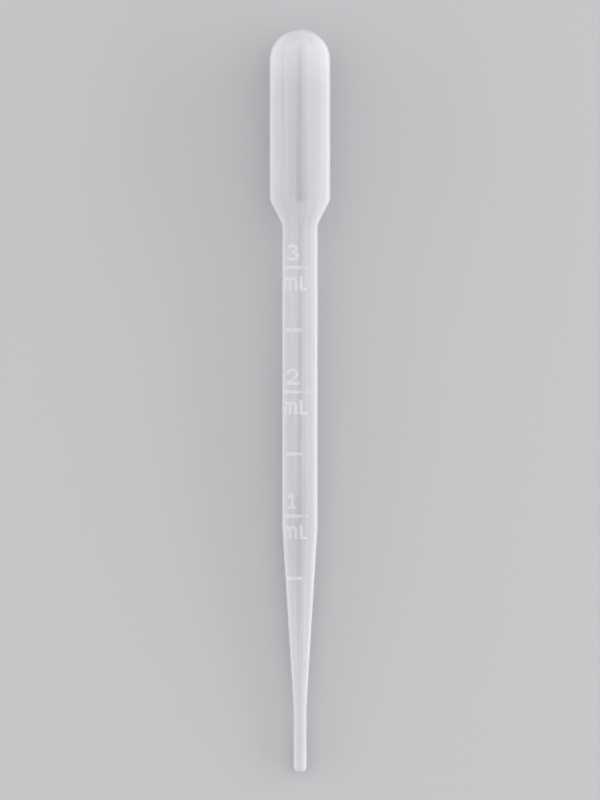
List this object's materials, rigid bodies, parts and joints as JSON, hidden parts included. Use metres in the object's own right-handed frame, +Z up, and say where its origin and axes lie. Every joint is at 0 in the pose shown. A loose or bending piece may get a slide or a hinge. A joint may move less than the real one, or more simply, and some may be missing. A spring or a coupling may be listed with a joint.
{
  "type": "transfer pipette",
  "caption": "Squeeze-bulb dropper pipette blown in one piece, with a graduated stem, a long taper and an open tip, for moving small amounts of liquid by hand.",
  "frame": {"origin": "on the table, under the middle of the pipette as it lies at rest", "axes": "+Y along the pipette from the tip to the bulb, +Z up, +X to the right when seen from above with the bulb furthest away; the graduations face up, rolled 26 degrees towards -X"},
  "size_m": [0.013, 0.16, 0.0142],
  "materials": {
    "polyethylene": "milky, translucent, smooth as moulded"
  },
  "bodies": {
    "root": {"pipette": "polyethylene"}
  },
  "joints": []
}
